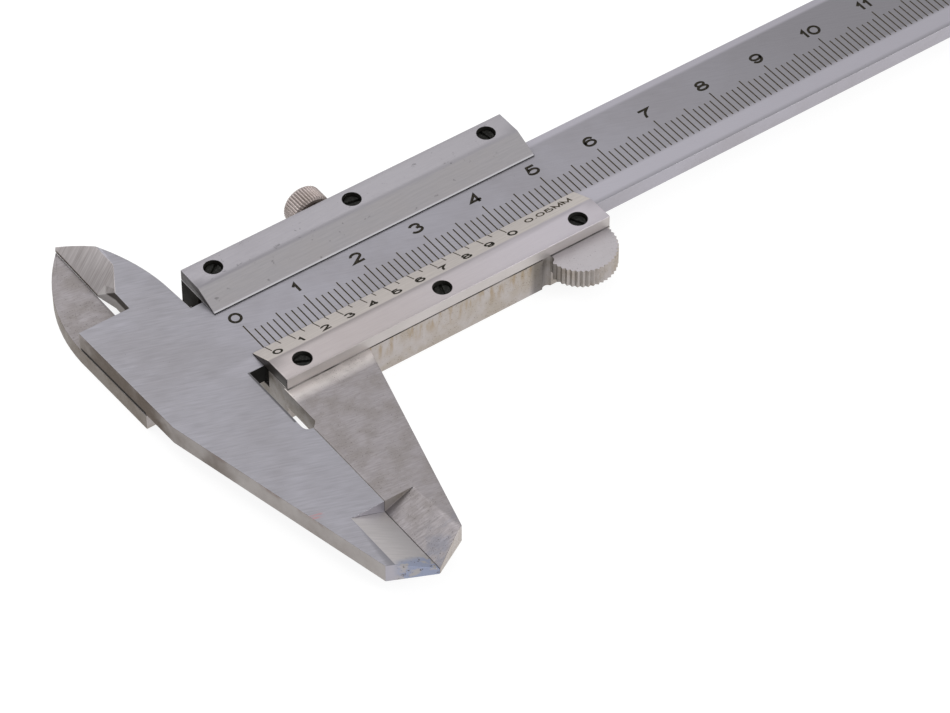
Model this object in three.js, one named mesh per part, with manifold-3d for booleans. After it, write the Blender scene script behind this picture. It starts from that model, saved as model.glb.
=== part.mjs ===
// Vernier caliper, 0 to 150 mm, with outside jaws, crossed inside jaws, a depth rod,
// two screwed plates on the slider, a lock screw and a knurled thumb rest.
//
// Working frame: millimetres, X along the beam from the jaws to its free end with the zero line
// of the main scale at x = 0, Y across the beam towards the inside jaws with the lower ends of
// the scale lines at y = 0, and Z out of the scale face, which lies at z = 0. At the end the
// assembly is moved so that its origin is the middle of its box, at the height of its base.

import * as THREE from "three";
import { mergeVertices } from "three/addons/utils/BufferGeometryUtils.js";
import Module from "manifold-3d";

const wasm = await Module();
wasm.setup();

// ---------------------------------------------------------------- beam
const measuringRange = 150;
const beamWidth = 16;
const beamThickness = 3;
const beamLowerY = -3.45;
const beamUpperY = beamLowerY + beamWidth;
const beamMiddleY = (beamLowerY + beamUpperY) / 2;
const beamBackChamfer = 0.55;
const beamTail = 7;

// ---------------------------------------------------------------- running and seating gaps
const slideGap = 0.1;
const seatGap = 0.02;
const jawGap = 0.02;
const threadGap = 0.08;

// ---------------------------------------------------------------- modelling
// Cutting shapes reach past the surfaces they cut by cutOver, and joined ones sink in by joinIn.
const cutOver = 1;
const joinIn = 0.5;
const holeSides = 20;
const turnedSides = 24;
const seatSides = 28;
const headSides = 48;

// ---------------------------------------------------------------- slider
const sliderLeftX = -1.95;
const sliderLength = 53.9;
const sliderRightX = sliderLeftX + sliderLength;
const lowerWall = 4.5;
const upperWall = 4.25;
const gibSpace = 0.9;
const backThickness = 2.57;
const lowerWallInnerY = beamLowerY - slideGap;
const sliderLowerY = lowerWallInnerY - lowerWall;
const upperWallInnerY = beamUpperY + slideGap + gibSpace;
const sliderUpperY = upperWallInnerY + upperWall;
const backFrontZ = -beamThickness - slideGap;
const backZ = backFrontZ - backThickness;
const wallTopZ = slideGap - seatGap;

// ---------------------------------------------------------------- outside jaws
const jawPlaneX = -3;
const jawLength = 41;
const jawTipY = beamLowerY - jawLength;
const jawShoulder = 3.05;
const fixedJawTipWidth = 6.45;
const slidingJawTipWidth = 5.65;
const slidingJawRoot = 14.45;
const jawLeftInset = 0.7;
const jawLeftDrop = 1.35;
const jawRelief = 12.3;
const fixedReliefDepth = 1.2;
const cornerReliefRise = 1.05;
const cornerReliefRun = 2.6;
const slidingReliefDepth = 0.85;
const thinnedLength = 12.4;
const thinnedDepth = 2;
const fixedThinnedWidth = 5.25;
const slidingThinnedWidth = 4.6;

// ---------------------------------------------------------------- inside jaws
const insideJawLength = 23.05;
const insideJawOffset = 8.4;
const insideTipDrop = 0.3;
const insideJawWidth = 7.3;
const insideJawCrown = 8.7;
const knifeBevelWidth = 3.6;
const knifeLand = 0.5;
const knifeEndRise = 1.45;
const knifeLap = 0.06;
const insideRootLean = 0.3;
const insideBackBow = 0.5;
const insideTipFlat = 0.2;
const blockRise = 4.85;
const blockReach = 7.35;
const notchHeight = 3.6;
const notchSlant = 3.3;
const notchDepth = 0.8;
const armInset = 5.05;
const armDrop = 1.9;
const armCrown = 8;
const armTaper = 0.45;
const armFillet = 2;
const armBow = 0.1;

const knifeX = jawPlaneX - insideJawOffset;
const armKnifeX = knifeX + knifeLap;
const insideTipY = beamUpperY + insideJawLength;
const insideRootX = knifeX + insideJawWidth;
const blockTopY = beamUpperY + blockRise;
const blockLeftX = knifeX - blockReach;
const notchX = knifeX + notchDepth;
const notchTopY = blockTopY + notchHeight;
const knifeRootY = notchTopY + notchSlant;
const armLowerY = beamLowerY + armInset;
const armUpperY = blockTopY - armDrop;

// ---------------------------------------------------------------- front plates
const plateThickness = 1.85;
const plateFlat = 4.3;
const plateBevel = 4;
const plateLand = 0.12;
const plateBottomZ = slideGap;
const plateTopZ = plateBottomZ + plateThickness;

// ---------------------------------------------------------------- plate screws
const screwInset = 3.95;
const screwSeatDepth = 1.15;
const screwHeadRadius = 1.25;
const screwHeadHeight = 0.6;
const screwHeadGap = 0.1;
const screwHoleRadius = screwHeadRadius + screwHeadGap;
const screwShankRadius = 0.95;
const screwLength = 3.6;
const screwHoleSpare = 0.3;
const screwSlotWidth = 0.35;
const screwSlotDepth = 0.3;

// ---------------------------------------------------------------- lock screw and gib
const lockScrewSpacing = 4.15;
const lockShankRadius = 1.2;
const lockNeckRadius = 1.7;
const lockNeckLength = 1.2;
const lockHeadRadius = 3.05;
const lockHeadLength = 3.2;
const lockTeeth = 40;
const lockToothDepth = 0.18;
const lockTipChamfer = 0.3;
const lockHeadChamfer = 0.35;
const lockNeckGap = 0.15;
const lockKnurlSpare = 0.05;
const gibThickness = 0.5;
const gibTravel = 0.125;
const gibClear = 0.15;
const gibSideGap = 0.2;
const gibScrewRadius = 1;
const gibScrewInset = 10;
const gibScrewRecess = 0.5;
const gibSlotWidth = 0.3;
const gibSlotDepth = 0.5;
const gibEndInset = 1;
const screwAxisZ = -beamThickness / 2;

// ---------------------------------------------------------------- thumb rest
const thumbRadius = 5.3;
const thumbInset = 5.55;
const thumbDrop = 0.65;
const thumbTeeth = 44;
const thumbToothDepth = 0.28;
const thumbNotchRadius = 0.8;
const thumbNotchDrop = 0.35;

// ---------------------------------------------------------------- depth rod and end stop
const rodWidth = 2.8;
const rodThickness = 1.45;
const rodHeadLength = 17;
const rodSideGap = 0.2;
const rodFrontGap = 0.2;
const rodGrooveLead = 2;
const rodBackGap = 0.1;
const grooveWidth = rodWidth + 2 * rodSideGap;
const grooveDepth = rodBackGap + rodThickness + rodFrontGap;
const rodFrontZ = -beamThickness + rodBackGap + rodThickness;
const rodBackZ = -beamThickness + rodBackGap;
const rivetRadius = 0.8;
const rivetSpacing = 9;
const rivetRecess = 0.05;
const rodTipLength = 3;
const rodTipThickness = 0.7;
const stopWidth = 5;
const stopThickness = 1.9;
const stopMargin = 0.8;
const stopScrewSpread = 5.3;
const stopScrewRadius = 0.8;
const stopScrewHead = 1.5;
const stopScrewRecess = 0.05;
const stopSeatRim = 0.2;
const stopSeatDepth = 0.9;
const stopScrewEndZ = -1.1;
const stopHoleEndZ = -0.9;
const stopSlotWidth = 0.4;
const stopSlotDepth = 0.4;
const stopSlack = 1.25;

const stopLeftX = sliderRightX + measuringRange + stopSlack;
const beamEndX = stopLeftX + beamTail - stopSlack;

// ---------------------------------------------------------------- helpers

/** Turns a closed geometry into a solid that can be joined and cut. */
function solidOf(geometry) {
  geometry.deleteAttribute("normal");
  geometry.deleteAttribute("uv");
  const merged = mergeVertices(geometry, 1e-5);
  return new wasm.Manifold(new wasm.Mesh({
    numProp: 3,
    vertProperties: new Float32Array(merged.attributes.position.array),
    triVerts: new Uint32Array(merged.index.array),
  }));
}

/** Names a solid, gives it its finish and adds it to the assembly. */
function place(name, solid, finish) {
  const data = solid.getMesh();
  const geometry = new THREE.BufferGeometry();
  geometry.setAttribute("position", new THREE.BufferAttribute(data.vertProperties, 3));
  geometry.setIndex(new THREE.BufferAttribute(data.triVerts, 1));
  geometry.computeVertexNormals();
  const mesh = new THREE.Mesh(geometry, new THREE.MeshStandardMaterial(finish));
  mesh.name = name;
  assembly.add(mesh);
}

/** Makes an outline from corner points. */
function outline(points) {
  return new THREE.Shape(points.map(([x, y]) => new THREE.Vector2(x, y)));
}

/** Plan outline between two heights. */
function slab(shape, lowZ, highZ) {
  const options = { depth: highZ - lowZ, bevelEnabled: false, curveSegments: 14 };
  const geometry = new THREE.ExtrudeGeometry(shape, options);
  geometry.translate(0, 0, lowZ);
  return solidOf(geometry);
}

/** Section in (x, z) carried along Y. */
function barAlongY(points, lowY, highY) {
  const flipped = points.map(([x, z]) => [x, -z]);
  const options = { depth: highY - lowY, bevelEnabled: false };
  const geometry = new THREE.ExtrudeGeometry(outline(flipped), options);
  geometry.rotateX(-Math.PI / 2);
  geometry.translate(0, lowY, 0);
  return solidOf(geometry);
}

/** Section in (y, z) carried along X. */
function barAlongX(points, lowX, highX) {
  const options = { depth: highX - lowX, bevelEnabled: false };
  const geometry = new THREE.ExtrudeGeometry(outline(points), options);
  geometry.rotateY(Math.PI / 2);
  geometry.rotateX(Math.PI / 2);
  geometry.translate(lowX, 0, 0);
  return solidOf(geometry);
}

/** Block between two corners. */
function block(lowX, lowY, lowZ, highX, highY, highZ) {
  const geometry = new THREE.BoxGeometry(highX - lowX, highY - lowY, highZ - lowZ);
  geometry.translate((lowX + highX) / 2, (lowY + highY) / 2, (lowZ + highZ) / 2);
  return solidOf(geometry);
}

/** Turned piece about the Z axis: rings are [radius, z] from the lower end to the upper one. */
function turned(rings, sides) {
  const profile = [[0, rings[0][1]], ...rings, [0, rings.at(-1)[1]]];
  const points = profile.map(([radius, z]) => new THREE.Vector2(radius, z));
  const geometry = new THREE.LatheGeometry(points, sides);
  geometry.rotateX(Math.PI / 2);
  return solidOf(geometry);
}

/** Toothed round outline for a straight knurl. */
function knurledOutline(radius, teeth, depth) {
  const points = [];
  for (let i = 0; i < teeth; i += 1) {
    const angle = (i / teeth) * 2 * Math.PI;
    const half = Math.PI / teeth;
    points.push([radius * Math.cos(angle), radius * Math.sin(angle)]);
    points.push([
      (radius - depth) * Math.cos(angle + half),
      (radius - depth) * Math.sin(angle + half),
    ]);
  }
  return outline(points);
}

const assembly = new THREE.Group();

const satinSteel = { color: 0xa9a8ad, roughness: 0.38, metalness: 0.9 };
const warmSteel = { color: 0xa19d9b, roughness: 0.42, metalness: 0.9 };
const brightSteel = { color: 0xb9b7b6, roughness: 0.3, metalness: 0.95 };
const blackSteel = { color: 0x14130f, roughness: 0.45, metalness: 0.7 };
const bronze = { color: 0xa5763a, roughness: 0.4, metalness: 0.9 };

// Screw centres along the slider, and across it in the middle of each plate's flat band.
const screwXs = [
  sliderLeftX + screwInset,
  (sliderLeftX + sliderRightX) / 2,
  sliderRightX - screwInset,
];
const lowerScrewY = sliderLowerY + plateFlat / 2;
const upperScrewY = sliderUpperY - plateFlat / 2;
const lockX = screwXs[1] - lockScrewSpacing;
const gibScrewXs = [sliderLeftX + gibScrewInset, sliderRightX - gibScrewInset];
const gibLowerY = beamUpperY + gibClear;
const gibUpperY = gibLowerY + gibThickness;

// Rivet centres in the middle of the depth rod's head, and the end stop's screw line.
const rivetXs = [
  sliderRightX - rodHeadLength / 2 - rivetSpacing / 2,
  sliderRightX - rodHeadLength / 2 + rivetSpacing / 2,
];
const stopX = stopLeftX + stopWidth / 2;

// ---------------------------------------------------------------- beam with both fixed jaws

function makeBeam() {
  const reliefX = jawPlaneX - fixedReliefDepth;
  const reliefEndY = beamLowerY - jawRelief;
  const shape = new THREE.Shape();
  shape.moveTo(beamEndX, beamLowerY);
  shape.lineTo(beamEndX, beamUpperY);
  shape.lineTo(insideRootX + insideRootLean, beamUpperY);
  shape.lineTo(insideRootX, blockTopY);
  shape.quadraticCurveTo(
    insideRootX - insideBackBow, insideTipY - insideJawCrown,
    knifeX + insideTipFlat, insideTipY,
  );
  shape.lineTo(knifeX, insideTipY - insideTipDrop);
  shape.lineTo(knifeX, knifeRootY);
  shape.lineTo(notchX, notchTopY);
  shape.lineTo(notchX, blockTopY);
  shape.lineTo(blockLeftX, blockTopY);
  shape.lineTo(blockLeftX + jawLeftInset, beamLowerY - jawLeftDrop);
  shape.lineTo(jawPlaneX - fixedJawTipWidth, jawTipY + jawShoulder);
  shape.lineTo(jawPlaneX, jawTipY);
  shape.lineTo(jawPlaneX, reliefEndY);
  shape.quadraticCurveTo(reliefX, reliefEndY, reliefX, reliefEndY + fixedReliefDepth);
  shape.lineTo(reliefX, beamLowerY + cornerReliefRise);
  shape.lineTo(reliefX + cornerReliefRun, beamLowerY + cornerReliefRise);
  shape.lineTo(reliefX + cornerReliefRun, beamLowerY);
  let beam = slab(shape, -beamThickness, 0);

  // Thinned tip of the outside jaw.
  const slope = thinnedDepth / fixedThinnedWidth;
  const rampX = jawPlaneX - fixedThinnedWidth;
  const ramp = [
    [rampX, 0],
    [jawPlaneX + cutOver, -thinnedDepth - slope * cutOver],
    [jawPlaneX + cutOver, cutOver],
    [rampX, cutOver],
  ];
  beam = beam.subtract(barAlongY(ramp, jawTipY - cutOver, jawTipY + thinnedLength));

  // Knife bevel of the inside jaw, running out at its root.
  beam = beam.subtract(knifeWedge(knifeX, 1, 0, -1, beamThickness));

  // Chamfers on the two back edges, behind the measuring range.
  for (const [edgeY, side] of [[beamLowerY, -1], [beamUpperY, 1]]) {
    const section = [
      [edgeY + side * cutOver, -beamThickness - cutOver],
      [edgeY + side * cutOver, -beamThickness + beamBackChamfer + cutOver],
      [edgeY, -beamThickness + beamBackChamfer],
      [edgeY - side * beamBackChamfer, -beamThickness],
      [edgeY - side * beamBackChamfer, -beamThickness - cutOver],
    ];
    const ordered = side > 0 ? section.reverse() : section;
    beam = beam.subtract(barAlongX(ordered, 0, beamEndX + cutOver));
  }

  // Groove for the depth rod, and tapped holes for the end stop.
  const grooveY = grooveWidth / 2;
  beam = beam.subtract(block(
    sliderRightX - rodHeadLength - rodGrooveLead, beamMiddleY - grooveY, -beamThickness - cutOver,
    beamEndX + cutOver, beamMiddleY + grooveY, -beamThickness + grooveDepth,
  ));
  for (const side of [-1, 1]) {
    const hole = turned([
      [stopScrewRadius + threadGap, -beamThickness - cutOver],
      [stopScrewRadius + threadGap, stopHoleEndZ],
    ], holeSides);
    beam = beam.subtract(hole.translate(stopX, beamMiddleY + side * stopScrewSpread, 0));
  }
  return beam;
}

/**
 * Wedge that leaves a knife edge at edgeX on an inside jaw whose body lies on the side given by
 * away (1 or -1 along X). It opens from the face at faceZ down to the land at the knife, and its
 * lower end is the plane through the knife's root, the bevel's far corner and the notch's corner.
 */
function knifeWedge(edgeX, away, faceZ, side, depth) {
  const drop = depth - knifeLand;
  const over = cutOver * away;
  const slope = drop / knifeBevelWidth;
  const section = [
    [edgeX + away * knifeBevelWidth + over, faceZ - side * slope * cutOver],
    [edgeX - over, faceZ - side * slope * cutOver],
    [edgeX - over, faceZ + side * (drop + slope * cutOver)],
  ];
  const root = new THREE.Vector3(edgeX, knifeRootY, faceZ + side * drop);
  const corner = new THREE.Vector3(
    edgeX + away * knifeBevelWidth, knifeRootY + knifeEndRise, faceZ,
  );
  const foot = new THREE.Vector3(edgeX + away * notchDepth, notchTopY, faceZ);
  const end = new THREE.Plane().setFromCoplanarPoints(root, corner, foot);
  const area = THREE.ShapeUtils.area(section.map(([x, z]) => new THREE.Vector2(x, -z)));
  const ordered = area > 0 ? section : section.reverse();
  const flipped = ordered.map(([x, z]) => [x, -z]);
  const options = { depth: insideTipY + cutOver, bevelEnabled: false };
  const geometry = new THREE.ExtrudeGeometry(outline(flipped), options);
  geometry.rotateX(-Math.PI / 2);
  const position = geometry.attributes.position;
  for (let i = 0; i < position.count; i += 1) {
    if (position.getY(i) < insideTipY) {
      const across = end.normal.x * position.getX(i) + end.normal.z * position.getZ(i);
      position.setY(i, -(across + end.constant) / end.normal.y);
    }
  }
  return solidOf(geometry);
}

// ---------------------------------------------------------------- slider body

function makeSliderBody() {
  // Back plate with the arm that carries the sliding inside jaw behind the fixed one.
  const shape = new THREE.Shape();
  shape.moveTo(sliderRightX, sliderLowerY);
  shape.lineTo(sliderRightX, sliderUpperY);
  shape.lineTo(sliderLeftX, sliderUpperY);
  shape.lineTo(sliderLeftX, armUpperY);
  shape.lineTo(armKnifeX + armFillet, armUpperY);
  shape.quadraticCurveTo(armKnifeX, armUpperY, armKnifeX, armUpperY + armFillet);
  shape.lineTo(armKnifeX, insideTipY - insideTipDrop);
  shape.quadraticCurveTo(blockLeftX + armBow, insideTipY - armCrown, blockLeftX, blockTopY);
  shape.lineTo(blockLeftX + armTaper, armLowerY);
  shape.lineTo(sliderLeftX, armLowerY);
  shape.lineTo(sliderLeftX, sliderLowerY);
  let body = slab(shape, backZ, backFrontZ);
  body = body.subtract(knifeWedge(armKnifeX, -1, backZ, 1, backThickness));

  // Walls beside the beam, under the two plates.
  body = body.add(block(
    sliderLeftX, sliderLowerY, backFrontZ - joinIn, sliderRightX, lowerWallInnerY, wallTopZ,
  ));
  body = body.add(block(
    sliderLeftX, upperWallInnerY, backFrontZ - joinIn, sliderRightX, sliderUpperY, wallTopZ,
  ));

  // Sliding outside jaw, as thick as the beam.
  const faceX = jawPlaneX + jawGap;
  const reliefX = jawPlaneX + slidingReliefDepth;
  const reliefEndY = beamLowerY - jawRelief;
  const jaw = outline([
    [faceX, jawTipY],
    [faceX + slidingJawTipWidth, jawTipY + jawShoulder],
    [jawPlaneX + slidingJawRoot, sliderLowerY],
    [jawPlaneX + slidingJawRoot, sliderLowerY + joinIn],
    [reliefX, sliderLowerY + joinIn],
    [reliefX, reliefEndY + slidingReliefDepth],
    [faceX, reliefEndY],
  ]);
  body = body.add(slab(jaw, -beamThickness, 0));
  const slope = thinnedDepth / slidingThinnedWidth;
  const rampX = jawPlaneX + slidingThinnedWidth;
  const ramp = [
    [rampX, 0],
    [rampX, cutOver],
    [jawPlaneX - cutOver, cutOver],
    [jawPlaneX - cutOver, -thinnedDepth - slope * cutOver],
  ];
  body = body.subtract(barAlongY(ramp, jawTipY - cutOver, jawTipY + thinnedLength));

  // Knurled thumb rest on the lower wall, with the cutter's mark at its left.
  const thumbX = sliderRightX - thumbInset;
  const thumbY = sliderLowerY - thumbDrop;
  const rest = slab(knurledOutline(thumbRadius, thumbTeeth, thumbToothDepth), -beamThickness, 0)
    .translate(thumbX, thumbY, 0)
    .intersect(block(
      thumbX - thumbRadius, thumbY - thumbRadius, -beamThickness,
      thumbX + thumbRadius, sliderLowerY + joinIn, 0,
    ));
  body = body.add(rest);
  const notch = turned([
    [thumbNotchRadius, backZ - cutOver],
    [thumbNotchRadius, cutOver],
  ], holeSides);
  body = body.subtract(notch.translate(thumbX - thumbRadius, sliderLowerY - thumbNotchDrop, 0));

  // Tapped holes for the plate screws, from the front.
  for (const y of [lowerScrewY, upperScrewY]) {
    for (const x of screwXs) {
      const hole = turned([
        [screwShankRadius + threadGap, plateBottomZ - screwLength - screwHoleSpare],
        [screwShankRadius + threadGap, cutOver],
      ], holeSides);
      body = body.subtract(hole.translate(x, y, 0));
    }
  }

  // Tapped holes for the lock screw and the gib screws, through the upper wall.
  body = body.subtract(sideHole(lockX, lockShankRadius + threadGap));
  for (const x of gibScrewXs) {
    body = body.subtract(sideHole(x, gibScrewRadius + threadGap));
  }

  // Rivet holes for the depth rod.
  for (const x of rivetXs) {
    const hole = turned([
      [rivetRadius + threadGap, backZ - cutOver],
      [rivetRadius + threadGap, backFrontZ + cutOver],
    ], holeSides);
    body = body.subtract(hole.translate(x, beamMiddleY, 0));
  }
  return body;
}

/** Round hole along Y through the upper wall. */
function sideHole(x, radius) {
  const length = sliderUpperY - upperWallInnerY + 2 * cutOver;
  const geometry = new THREE.CylinderGeometry(radius, radius, length, holeSides);
  geometry.translate(x, (sliderUpperY + upperWallInnerY) / 2, screwAxisZ);
  return solidOf(geometry);
}

// ---------------------------------------------------------------- front plates

/** Plate with a flat screw band at outerY and a bevel that ends in a thin edge over the beam. */
function makePlate(outerY, inward) {
  const section = [
    [outerY, plateBottomZ],
    [outerY, plateTopZ],
    [outerY + inward * plateFlat, plateTopZ],
    [outerY + inward * (plateFlat + plateBevel), plateBottomZ + plateLand],
    [outerY + inward * (plateFlat + plateBevel), plateBottomZ],
  ];
  let plate = barAlongX(inward > 0 ? section.reverse() : section, sliderLeftX, sliderRightX);
  const seatZ = plateTopZ - screwSeatDepth;
  for (const x of screwXs) {
    const hole = turned([
      [screwShankRadius + threadGap, plateBottomZ - cutOver],
      [screwShankRadius + threadGap, seatZ],
      [screwHoleRadius, seatZ],
      [screwHoleRadius, plateTopZ + cutOver],
    ], seatSides);
    plate = plate.subtract(hole.translate(x, outerY + (inward * plateFlat) / 2, 0));
  }
  return plate;
}

function makePlateScrew(x, y) {
  const seatZ = plateTopZ - screwSeatDepth + seatGap;
  const headTop = seatZ + screwHeadHeight;
  const screw = turned([
    [screwShankRadius, plateBottomZ - screwLength],
    [screwShankRadius, seatZ],
    [screwHeadRadius, seatZ],
    [screwHeadRadius, headTop],
  ], turnedSides);
  const slot = block(
    -screwHeadRadius - cutOver, -screwSlotWidth / 2, headTop - screwSlotDepth,
    screwHeadRadius + cutOver, screwSlotWidth / 2, headTop + cutOver,
  );
  return screw.subtract(slot).translate(x, y, 0);
}

// ---------------------------------------------------------------- lock screw, gib and gib screws

function makeLockScrew() {
  const tipY = gibUpperY + seatGap;
  const neckY = sliderUpperY + lockNeckGap;
  const headY = neckY + lockNeckLength;
  const endY = headY + lockHeadLength;
  const shank = turned([
    [lockShankRadius - lockTipChamfer, tipY],
    [lockShankRadius, tipY + lockTipChamfer],
    [lockShankRadius, neckY],
    [lockNeckRadius, neckY],
    [lockNeckRadius, headY + joinIn],
  ], turnedSides);
  const envelope = turned([
    [lockHeadRadius - lockHeadChamfer, headY],
    [lockHeadRadius + lockKnurlSpare, headY + lockHeadChamfer],
    [lockHeadRadius + lockKnurlSpare, endY - lockHeadChamfer],
    [lockHeadRadius - lockHeadChamfer, endY],
  ], headSides);
  const knurl = slab(knurledOutline(lockHeadRadius, lockTeeth, lockToothDepth), headY, endY);
  return shank.add(knurl.intersect(envelope)).rotate([-90, 0, 0]).translate(lockX, 0, screwAxisZ);
}

function makeGibScrew(x) {
  const length = sliderUpperY - gibScrewRecess - gibUpperY - gibTravel;
  const screw = turned([[gibScrewRadius, 0], [gibScrewRadius, length]], holeSides);
  const slot = block(
    -gibScrewRadius - cutOver, -gibSlotWidth / 2, length - gibSlotDepth,
    gibScrewRadius + cutOver, gibSlotWidth / 2, length + cutOver,
  );
  return screw.subtract(slot).rotate([-90, 0, 0])
    .translate(x, gibUpperY + gibTravel, screwAxisZ);
}

function makeGib() {
  return block(
    sliderLeftX + gibEndInset, gibLowerY, -beamThickness + gibSideGap,
    sliderRightX - gibEndInset, gibUpperY, -gibSideGap,
  );
}

// ---------------------------------------------------------------- depth rod and end stop

function makeDepthRod() {
  const halfWidth = rodWidth / 2;
  const headX = sliderRightX - rodHeadLength;
  let rod = block(
    headX, beamMiddleY - halfWidth, rodBackZ, beamEndX, beamMiddleY + halfWidth, rodFrontZ,
  );
  rod = rod.add(block(
    headX, beamMiddleY - halfWidth, backFrontZ + seatGap,
    sliderRightX, beamMiddleY + halfWidth, rodFrontZ,
  ));
  rod = rod.subtract(block(
    beamEndX - rodTipLength, beamMiddleY - halfWidth - cutOver, rodBackZ + rodTipThickness,
    beamEndX + cutOver, beamMiddleY + halfWidth + cutOver, rodFrontZ + cutOver,
  ));
  for (const x of rivetXs) {
    const hole = turned([
      [rivetRadius + threadGap, rodBackZ - cutOver],
      [rivetRadius + threadGap, rodFrontZ + cutOver],
    ], holeSides);
    rod = rod.subtract(hole.translate(x, beamMiddleY, 0));
  }
  return rod;
}

function makeRivet(x) {
  const rivet = turned([
    [rivetRadius, backZ + rivetRecess],
    [rivetRadius, rodFrontZ - rivetRecess],
  ], holeSides);
  return rivet.translate(x, beamMiddleY, 0);
}

function makeEndStop() {
  const frontZ = -beamThickness - seatGap;
  const headZ = frontZ - stopThickness;
  let stop = block(
    stopLeftX, beamLowerY + stopMargin, headZ,
    stopLeftX + stopWidth, beamUpperY - stopMargin, frontZ,
  );
  for (const side of [-1, 1]) {
    const hole = turned([
      [stopScrewHead + threadGap, headZ - cutOver],
      [stopScrewHead + threadGap, headZ + stopSeatRim],
      [stopScrewRadius + threadGap, headZ + stopSeatDepth],
      [stopScrewRadius + threadGap, frontZ + cutOver],
    ], holeSides);
    stop = stop.subtract(hole.translate(stopX, beamMiddleY + side * stopScrewSpread, 0));
  }
  return stop;
}

function makeEndStopScrew(y) {
  const headZ = -beamThickness - seatGap - stopThickness;
  const screw = turned([
    [stopScrewHead, headZ + stopScrewRecess],
    [stopScrewHead, headZ + stopSeatRim],
    [stopScrewRadius, headZ + stopSeatDepth],
    [stopScrewRadius, stopScrewEndZ],
  ], holeSides);
  const slot = block(
    -stopScrewHead - cutOver, -stopSlotWidth / 2, headZ - cutOver,
    stopScrewHead + cutOver, stopSlotWidth / 2, headZ + stopSlotDepth,
  );
  return screw.subtract(slot).translate(stopX, y, 0);
}

// ---------------------------------------------------------------- assembly

place("beam_with_fixed_jaws", makeBeam(), satinSteel);
place("slider_body", makeSliderBody(), warmSteel);
place("vernier_plate", makePlate(sliderLowerY, 1), brightSteel);
place("guide_plate", makePlate(sliderUpperY, -1), satinSteel);
["left", "middle", "right"].forEach((side, i) => {
  place(`vernier_plate_screw_${side}`, makePlateScrew(screwXs[i], lowerScrewY), blackSteel);
  place(`guide_plate_screw_${side}`, makePlateScrew(screwXs[i], upperScrewY), blackSteel);
});
place("lock_screw", makeLockScrew(), warmSteel);
place("gib_strip", makeGib(), bronze);
place("gib_screw_left", makeGibScrew(gibScrewXs[0]), blackSteel);
place("gib_screw_right", makeGibScrew(gibScrewXs[1]), blackSteel);
place("depth_rod", makeDepthRod(), satinSteel);
place("depth_rod_rivet_left", makeRivet(rivetXs[0]), warmSteel);
place("depth_rod_rivet_right", makeRivet(rivetXs[1]), warmSteel);
place("end_stop", makeEndStop(), satinSteel);
place("end_stop_screw_lower", makeEndStopScrew(beamMiddleY - stopScrewSpread), blackSteel);
place("end_stop_screw_upper", makeEndStopScrew(beamMiddleY + stopScrewSpread), blackSteel);

const bounds = new THREE.Box3().setFromObject(assembly);
assembly.position.set(
  -(bounds.min.x + bounds.max.x) / 2,
  -(bounds.min.y + bounds.max.y) / 2,
  -bounds.min.z,
);

export default assembly;
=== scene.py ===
import math

import bmesh
import bpy
import numpy as np
from mathutils import Matrix, Vector


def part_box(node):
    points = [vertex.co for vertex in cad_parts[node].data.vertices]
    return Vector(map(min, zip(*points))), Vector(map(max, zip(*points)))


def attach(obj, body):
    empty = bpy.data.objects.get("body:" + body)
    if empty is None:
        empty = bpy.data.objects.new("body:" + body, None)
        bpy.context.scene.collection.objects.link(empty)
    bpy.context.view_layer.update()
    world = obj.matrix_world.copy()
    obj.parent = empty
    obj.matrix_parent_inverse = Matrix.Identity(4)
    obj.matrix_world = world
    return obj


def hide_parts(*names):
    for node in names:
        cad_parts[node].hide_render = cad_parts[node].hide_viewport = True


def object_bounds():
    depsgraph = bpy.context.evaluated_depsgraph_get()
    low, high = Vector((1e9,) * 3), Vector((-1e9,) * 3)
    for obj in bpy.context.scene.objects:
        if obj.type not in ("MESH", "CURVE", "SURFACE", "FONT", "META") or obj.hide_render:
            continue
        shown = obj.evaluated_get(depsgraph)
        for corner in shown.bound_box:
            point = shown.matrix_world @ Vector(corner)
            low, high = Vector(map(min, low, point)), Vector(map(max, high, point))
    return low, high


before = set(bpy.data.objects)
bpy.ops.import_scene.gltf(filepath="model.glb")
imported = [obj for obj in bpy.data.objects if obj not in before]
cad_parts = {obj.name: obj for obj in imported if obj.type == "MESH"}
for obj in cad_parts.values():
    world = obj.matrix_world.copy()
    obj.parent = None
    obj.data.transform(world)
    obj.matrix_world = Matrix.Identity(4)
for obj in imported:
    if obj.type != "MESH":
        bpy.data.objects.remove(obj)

# Vernier caliper: softened steel pieces, turned screws, cut scale lines and numerals.
# Every place below is in millimetres from the zero line of the beam's scale:
# x along the beam, y across it towards the inside jaws, z out of the scale face.

cadLow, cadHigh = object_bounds()
mm = 0.001
plateCorner = {"leftOfZero": 1.95, "belowLines": 8.05}
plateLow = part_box("vernier_plate")[0]
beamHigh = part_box("beam_with_fixed_jaws")[1]
zero = np.array([
    plateLow.x + plateCorner["leftOfZero"] * mm, plateLow.y + plateCorner["belowLines"] * mm,
    beamHigh.z,
])


# Millimetres from the zero line to metres in the frame.
def toFrame(points):
    return np.asarray(points, float) * mm + zero


# A CAD node's box in millimetres from the zero line.
def boxOf(node):
    low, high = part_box(node)
    return (np.array(low) - zero) / mm, (np.array(high) - zero) / mm


camera = {
    "place": (-223.233, -356.197, 424.927),
    "right": (0.80988533, -0.58658823, 0.0),
    "up": (0.41813252, 0.57730342, 0.70134582),
    "lens": 168.22, "sensor": 36, "clip": (0.05, 20),
}


def makeCamera():
    data = bpy.data.cameras.new("studioCamera")
    data.lens = camera["lens"]
    data.sensor_width = camera["sensor"]
    data.clip_start, data.clip_end = camera["clip"]
    eye = bpy.data.objects.new("studioCamera", data)
    right, up = Vector(camera["right"]), Vector(camera["up"])
    turn = Matrix((right, up, right.cross(up))).transposed().to_4x4()
    eye.matrix_world = Matrix.Translation(Vector(toFrame(camera["place"]))) @ turn
    bpy.context.scene.collection.objects.link(eye)
    bpy.context.scene.camera = eye


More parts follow.
